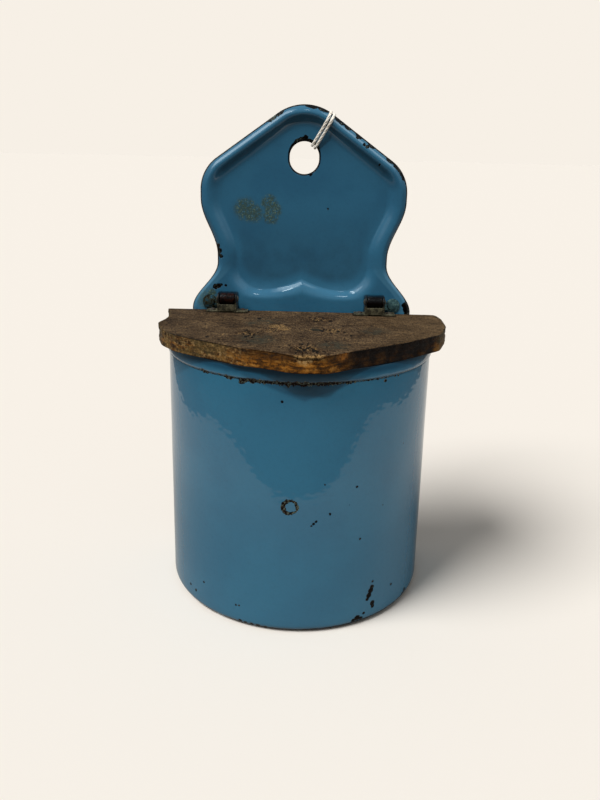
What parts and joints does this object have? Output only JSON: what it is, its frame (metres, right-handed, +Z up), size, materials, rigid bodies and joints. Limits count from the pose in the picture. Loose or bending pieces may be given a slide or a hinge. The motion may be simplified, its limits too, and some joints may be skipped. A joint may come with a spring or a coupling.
{
  "type": "wall salt box",
  "caption": "Wall-hung D-shaped enamelled sheet-metal salt box with a shaped back plate, a hanging hole with a string loop, and a hinged wooden lid.",
  "frame": {"origin": "on the floor plane, in the middle of the round front of the tub's flat underside", "axes": "+X to the right as seen from the front, -Y to the front, +Y to the wall, +Z up; the wall plane is at Y = +0.020 m"},
  "size_m": [0.1515, 0.099, 0.2566],
  "materials": {
    "tub_enamel": "glossy blue vitreous enamel on sheet steel, chipped, with a rusty line under the rim",
    "plate_enamel": "glossy blue vitreous enamel on sheet steel, with dark wear along the edges",
    "ground_coat": "glossy dark-brown to black enamel ground coat",
    "old_strip_steel": "dull olive-grey weathered strip steel",
    "rusty_steel": "tarnished and rusted steel",
    "old_wood": "bare weathered grey-brown softwood with orange-brown worn edges and wormholes",
    "cotton_string": "off-white twisted cotton string"
  },
  "bodies": {
    "box": {"tub_wall": "tub_enamel", "tub_base": "tub_enamel", "back_plate": "plate_enamel", "hinge_bracket_left": "ground_coat", "hinge_bracket_right": "ground_coat", "bracket_rivets": "rusty_steel", "hanging_string": "cotton_string"},
    "lid": {"lid_board": "old_wood", "hinge_leaf_left": "old_strip_steel", "hinge_leaf_right": "old_strip_steel", "hinge_pin_left": "rusty_steel", "hinge_pin_right": "rusty_steel", "leaf_nails": "rusty_steel"}
  },
  "joints": [
    {"name": "lid_hinge", "type": "hinge", "parent": "box", "child": "lid", "pos_m": [0, 0.0087, 0.15415], "axis": [-1, 0, 0], "range_deg": [0, 96]}
  ]
}
